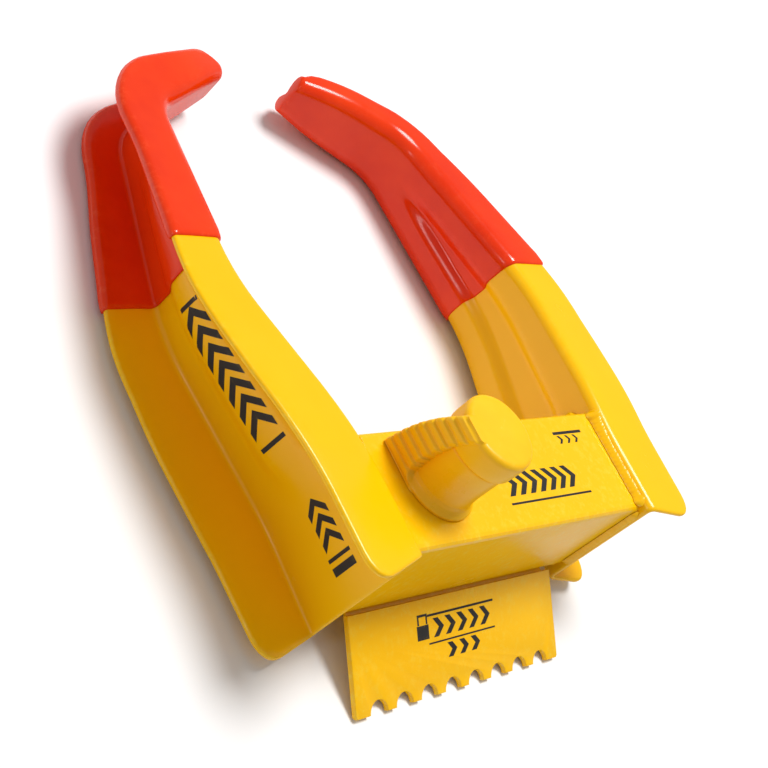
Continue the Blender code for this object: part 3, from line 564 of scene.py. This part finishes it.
def pad_reach(direction, level):
    """How far the thumb pad stands from the lock's axis this way, in mm; 0 where it isn't."""
    pitch = (CAP_TO - BODY_FRONT - 2) / RIBS
    place = ((level - BODY_FRONT - 1) / pitch) % 1.0
    crest = soft_step((place - RIB_FROM) / RIB_SLOPE) * soft_step((RIB_TO - place) / RIB_SLOPE)
    share = (level - BODY_FRONT) / (CAP_TO - BODY_FRONT)
    out = PAD_OUT - PAD_LEAN * share ** 2 - RIB_DEEP * (1 - crest)
    top, foot = reading(PAD_TOP, level, PAD_EASE), reading(PAD_FOOT, level, PAD_EASE)
    soft = PAD_SOFT
    corners = [(PAD_INNER, top - 2 * soft), (-out + soft, top), (-out + 0.3 * soft, top - 0.3 * soft),
               (-out, top - soft), (-out, foot + soft), (-out + 0.3 * soft, foot + 0.3 * soft),
               (-out + soft, foot), (PAD_INNER, foot)]
    furthest = 0.0
    for (ax, ay), (bx, by) in zip(corners, corners[1:]):
        ex, ey = bx - ax, by - ay
        across = direction[0] * ey - direction[1] * ex
        if abs(across) < 1e-9:
            continue
        distance = (ax * ey - ay * ex) / across
        where = (ax * direction[1] - ay * direction[0]) / across
        if distance > 0 and -1e-9 <= where <= 1 + 1e-9:
            furthest = max(furthest, distance)
    return furthest


def moulded_ring(level, radius, padded=True, grow=0.0):
    """A level of the sleeve in metres, round the lock's axis, standing out where the thumb pad is."""
    ring = []
    for i in range(AROUND):
        a = 2 * math.pi * i / AROUND
        way = (math.cos(a), math.sin(a))
        reach = radius
        if padded:
            out = pad_reach(way, level) + grow
            blend = max(0.0, 1 - abs(out - radius) / FILLET)
            reach = max(out, radius) + FILLET_FILL * blend * blend
        ring.append(Vector((LOCK_X + way[0] * reach, LOCK_Y + way[1] * reach, level)) * MM)
    return ring


def sleeve_radius(profile, level):
    levels, radii = zip(*profile)
    return float(np.interp(level, levels, radii))


BOOT_PROFILE = [(-4.7, 20.5), (-4.2, 20.8), (-3.4, 20.8), (-2.6, 20.2), (-1.8, 19.1), (-0.8, 18.2),
                (1.0, 17.6), (4.0, 17.4), (8.0, 17.2), (22.6, 17.5), (23.3, 17.3), (23.7, 16.7)]
CAP_PROFILE = [(24.0, 17.9), (24.3, 18.5), (25.0, 18.9), (28.0, 19.1), (34.8, 19.2), (36.0, 19.0),
               (36.9, 18.5), (37.5, 17.9), (37.85, 17.2), (38.0, 16.4)]
bm = bmesh.new()
boot_levels = sorted({level for level, _ in BOOT_PROFILE} | set(np.arange(-4.5, 23.5, LEVEL_STEP).round(2)))
rings = [moulded_ring(level, sleeve_radius(BOOT_PROFILE, level)) for level in boot_levels]
rings += [moulded_ring(level, HOUSING_RADIUS + CLEAR, False) for level in (boot_levels[-1], boot_levels[0])]
made = skin(bm, rings, False, False)
joined(bm, made[0], made[-1])
piece("moulded_boot", bm, rubber, "frame_side", ("lock_boot",), 50)

bm = bmesh.new()
cap_levels = sorted({level for level, _ in CAP_PROFILE} | set(np.arange(24.2, 37.0, LEVEL_STEP).round(2)))
rings = [moulded_ring(CAP_FROM, CAP_BORE, False)]
for level in cap_levels:
    grow = -max(0.0, level - PAD_CROWN_FROM) ** 2 * PAD_CROWN
    rings.append(moulded_ring(level, sleeve_radius(CAP_PROFILE, level), True, grow))
rim = rings[-1]
hub = Vector((LOCK_X, LOCK_Y, CAP_TO)) * MM
rings += [[hub + (p - hub) * share for p in rim] for share in (0.93, 0.8, 0.5, 0.12)]
recess = [(28.6, HOUSING_RADIUS + 0.2), (29.0, HOUSING_RADIUS - 0.4), (29.0, 2.0)]
made = skin(bm, rings, False, True)
hollow = skin(bm, [moulded_ring(level, radius, False) for level, radius in recess], False, True)
joined(bm, made[0], hollow[0])
piece("moulded_dust_cap", bm, rubber, "cap", ("dust_cap",), 50)


# Bare metal parts: the zinc-plated slide tube, drawn steel, with its stop bolt, and the key lock inside the
# boot, whose parts are turned or stamped. They keep their built shapes, under fine drawn lines and stains.
def metal(name, base, streak, roughness, grain, depth):
    """Turned or plated metal: a cloudy sheen, fine drawn lines and small stains."""
    made, shader = finish(name, base, roughness, 1.0)
    place = wire(made, "ShaderNodeTexCoord").outputs["Object"]
    cloud = wire(made, "ShaderNodeTexNoise", None, Vector=place, Scale=34.0, Detail=5.0, Roughness=0.7)
    tones = tone_ramp(made, cloud.outputs["Fac"], [(0.32, streak), (0.64, base)])
    crest = wire(made, "ShaderNodeNewGeometry").outputs["Pointiness"]
    crest = tone_ramp(made, crest, [(0.51, 0.0), (0.58, 0.7)])
    mix = wire(made, "ShaderNodeMix", {"data_type": "RGBA"}, i0=crest, i6=tones, i7=(0.86, 0.86, 0.84, 1))
    link(made, mix.outputs[2], shader.inputs["Base Color"])
    stretch = wire(made, "ShaderNodeMapping", None, Vector=place, Scale=(12.0, grain, grain))
    drawn = wire(made, "ShaderNodeTexNoise", None, Vector=stretch.outputs[0], Scale=1.0, Detail=3.0)
    gloss = wire(made, "ShaderNodeMapRange", None, i0=drawn.outputs["Fac"], i1=0.3, i2=0.7,
                 i3=roughness * 0.7, i4=roughness * 1.5)
    link(made, gloss.outputs[0], shader.inputs["Roughness"])
    bump = wire(made, "ShaderNodeBump", None, Strength=0.2, Distance=depth, Height=drawn.outputs["Fac"])
    link(made, bump.outputs["Normal"], shader.inputs["Normal"])
    return made


zinc = metal("zinc_plate", (0.62, 0.62, 0.60), (0.48, 0.50, 0.48), 0.36, 500.0, 0.000008)
hard_steel = metal("hardened_steel", (0.44, 0.44, 0.45), (0.30, 0.30, 0.32), 0.26, 1400.0, 0.00002)
cut_brass = metal("brass", (0.78, 0.56, 0.24), (0.62, 0.42, 0.16), 0.24, 1400.0, 0.00002)
bright = metal("chrome", (0.80, 0.80, 0.82), (0.70, 0.70, 0.73), 0.12, 1600.0, 0.00001)
carried(["slide_tube", "stop_bolt", "stop_nut", "lock_housing", "plug_cam"], zinc, 0.0003)
carried(["lock_bolt", "retaining_ring", "set_screw", "side_latch"], hard_steel)
carried(["key_plug"] + [f"wafer_{i}" for i in range(1, 6)], cut_brass)
carried(["lock_barrel"], bright)


# Return spring: a wound steel coil round the lock bolt, which pushes the barrel out.
SPRING_RADIUS, SPRING_WIRE, SPRING_TURNS = 7.9, 0.7, 4
SPRING_LOW, SPRING_HIGH = -3.95, 3.95
SPRING_STEPS, WIRE_STEPS = 40, 12
bm = bmesh.new()
rings = []
for i in range(SPRING_TURNS * SPRING_STEPS + 1):
    turned = 2 * math.pi * i / SPRING_STEPS
    outward = Vector((math.cos(turned), math.sin(turned), 0))
    level = SPRING_LOW + (SPRING_HIGH - SPRING_LOW) * i / (SPRING_TURNS * SPRING_STEPS)
    centre = Vector((LOCK_X, LOCK_Y, level)) + outward * SPRING_RADIUS
    rings.append([(centre + (outward * math.cos(a) + Z * math.sin(a)) * SPRING_WIRE) * MM
                  for a in (2 * math.pi * k / WIRE_STEPS for k in range(WIRE_STEPS))])
skin(bm, rings)
spring = piece("coiled_spring", bm, hard_steel, "frame_side", ("return_spring",), 60)
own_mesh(spring)


# Printed marks: black ink laid over the coat by pad printing. Plain warning chevrons, bars and a small
# padlock sign stand where the maker prints on the arm, the lock face and the bite plate.
ink = coated("printed_ink", (0.012, 0.012, 0.013), (0.02, 0.019, 0.018), (0.10, 0.07, 0.02),
             0.42, 900.0, 0.00002, 40.0)
INK, INK_LIFT = 0.05, 0.02          # the film's thickness, and how far its underside clears the coat
PATCH_STEP = 1.5


def printed(name, shapes, surface, body):
    """Shapes are four-cornered patches in mm on the surface; surface(u, v, lift) is a point in metres."""
    bm = bmesh.new()
    for corners in shapes:
        a, b, c, d = [Vector(p) for p in corners]
        longest = max((b - a).length, (c - d).length, (c - b).length, (d - a).length)
        steps = max(1, math.ceil(longest / PATCH_STEP))
        grid = {}
        for top in (False, True):
            for i in range(steps + 1):
                for j in range(steps + 1):
                    p = a.lerp(b, i / steps).lerp(d.lerp(c, i / steps), j / steps)
                    grid[top, i, j] = bm.verts.new(surface(p.x, p.y, INK * top + INK_LIFT))
        for top in (True, False):
            for i in range(steps):
                for j in range(steps):
                    around = ((i, j), (i + 1, j), (i + 1, j + 1), (i, j + 1))
                    bm.faces.new([grid[top, k, m] for k, m in around])
        border = [(i, 0) for i in range(steps)] + [(steps, j) for j in range(steps)]
        border += [(i, steps) for i in range(steps, 0, -1)] + [(0, j) for j in range(steps, 0, -1)]
        for (i, j), (k, m) in zip(border, border[1:] + border[:1]):
            bm.faces.new([grid[False, i, j], grid[False, k, m], grid[True, k, m], grid[True, i, j]])
    piece(name, bm, ink, body, (), 60)


def chevrons(u, v, count, pitch, high, thick):
    """A row of arrowheads pointing along u, as patches; u, v is the middle of the first one's back."""
    row = []
    for i in range(count):
        at = u + pitch * i
        tip = at + high * 0.5
        low, top = v - high / 2, v + high / 2
        row.append([(at, low), (at + thick, low), (tip + thick, v), (tip, v)])
        row.append([(tip, v), (tip + thick, v), (at + thick, top), (at, top)])
    return row


def block(u0, v0, u1, v1):
    """One upright rectangle between two corners."""
    return [[(u0, v0), (u1, v0), (u1, v1), (u0, v1)]]


def padlock(u, v, size, way):
    """A small padlock sign: a body, and a square-shouldered shackle up v (way 1) or down it (way -1)."""
    half, bar = size * 0.5, size * 0.13
    leg = half * 0.72
    low, high, crown = v + way * size * 0.78, v + way * size * 1.2, v + way * (size * 1.2 + bar)
    sign = block(u - half, v, u + half, v + way * size * 0.75)
    for s in (-1, 1):
        sign += block(u + s * leg - bar / 2, low, u + s * leg + bar / 2, high)
    return sign + block(u - leg - bar / 2, high, u + leg + bar / 2, crown)


def on_left_web(along, level, lift):
    """A point on the outer side of the left arm's web."""
    point, heading = on_arm(along)
    outward = Vector((heading.y, -heading.x))
    at = point + outward * (STEEL + trough_rise(along, level) + lift)
    return Vector((-(HALF_GAP + at.x), at.y, level)) * MM


def on_lock_face(u, v, lift):
    return Vector((u, v, BODY_FRONT + lift)) * MM


def on_bite(u, v, lift):
    return on_plate(u, v, -BITE_THICK - lift)


arm_marks = chevrons(84, -38, 7, 9.0, 15.5, 4.8) + block(78, -46, 80.2, -30) + block(150.5, -44, 152.6, -32)
foot_marks = block(14, -47, 18, -33) + block(20.5, -47, 22.3, -33) + chevrons(25, -40, 3, 7.5, 12, 4)
printed("arm_marks", arm_marks, on_left_web, "sliding_side")
printed("foot_marks", foot_marks, on_left_web, "sliding_side")
face_marks = chevrons(-10, 27, 7, 8.6, 12, 4.4) + block(-12, 16.5, 58, 17.6) + block(52, 50, 78, 51.6)
face_marks += chevrons(54, 47, 3, 7, 4.5, 2)
printed("face_marks", face_marks, on_lock_face, "frame_side")
plate_marks = chevrons(-22, 15, 5, 9.5, 9, 4) + block(-26, 8.2, 28, 9.3) + padlock(-30, 19.5, 9, -1)
plate_marks += chevrons(-12, 27, 3, 9.5, 7, 4) + block(-26, 21.6, 28, 22.4)
printed("plate_marks", plate_marks, on_bite, "frame_side")


# Studio: a pale matt floor in a bright even room, with one broad soft lamp overhead and a weak one at the
# left. The camera looks down on the lock from its left side.
paper, paper_shader = finish("studio_paper", (0.86, 0.86, 0.86), 0.75)
place = wire(paper, "ShaderNodeTexCoord").outputs["Object"]
fibre = wire(paper, "ShaderNodeTexNoise", None, Vector=place, Scale=3.0, Detail=3.0)
tones = tone_ramp(paper, fibre.outputs["Fac"], [(0.3, 0.88), (0.7, 0.90)])
link(paper, tones, paper_shader.inputs["Base Color"])
FLOOR_REACH, FLOOR_DROP, FLOOR_CORNERS = 6.0, 0.0002, 64
bm = bmesh.new()
ring = [bm.verts.new((FLOOR_REACH * math.cos(a), FLOOR_REACH * math.sin(a), -FLOOR_DROP))
        for a in (2 * math.pi * i / FLOOR_CORNERS for i in range(FLOOR_CORNERS))]
bm.faces.new(ring)
mesh = bpy.data.meshes.new("studio_floor")
bm.to_mesh(mesh)
bm.free()
mesh.materials.append(paper)
floor = bpy.data.objects.new("studio_floor", mesh)
bpy.context.scene.collection.objects.link(floor)

world = bpy.data.worlds.new("studio")
world.use_nodes = True
world.node_tree.nodes["Background"].inputs["Color"].default_value = (1.0, 1.0, 1.0, 1)
world.node_tree.nodes["Background"].inputs["Strength"].default_value = 0.36
bpy.context.scene.world = world
bpy.context.scene.view_settings.view_transform = "Standard"


def lamp(name, at, aim, size, power):
    light = bpy.data.lights.new(name, "AREA")
    light.shape = "DISK"
    light.size = size
    light.energy = power
    made = bpy.data.objects.new(name, light)
    made.location = at
    made.rotation_euler = (Vector(aim) - Vector(at)).to_track_quat("-Z", "Y").to_euler()
    bpy.context.scene.collection.objects.link(made)


lamp("overhead_lamp", (0.7, 0.7, 3.0), (0, 0, 0), 1.2, 94)
lamp("side_lamp", (-1.8, 0.1, 1.0), (0, 0, 0.04), 0.4, 2.5)

seen = bpy.data.cameras.new("camera")
seen.lens = 71.89
seen.sensor_width = 36.0
camera = bpy.data.objects.new("camera", seen)
camera.matrix_world = Matrix((
    (0.62592, 0.03371, -0.77916, -0.59751),
    (-0.37496, 0.88902, -0.26276, -0.22061),
    (0.68383, 0.45662, 0.56910, 0.46396),
    (0, 0, 0, 1),
))
bpy.context.scene.collection.objects.link(camera)
bpy.context.scene.camera = camera
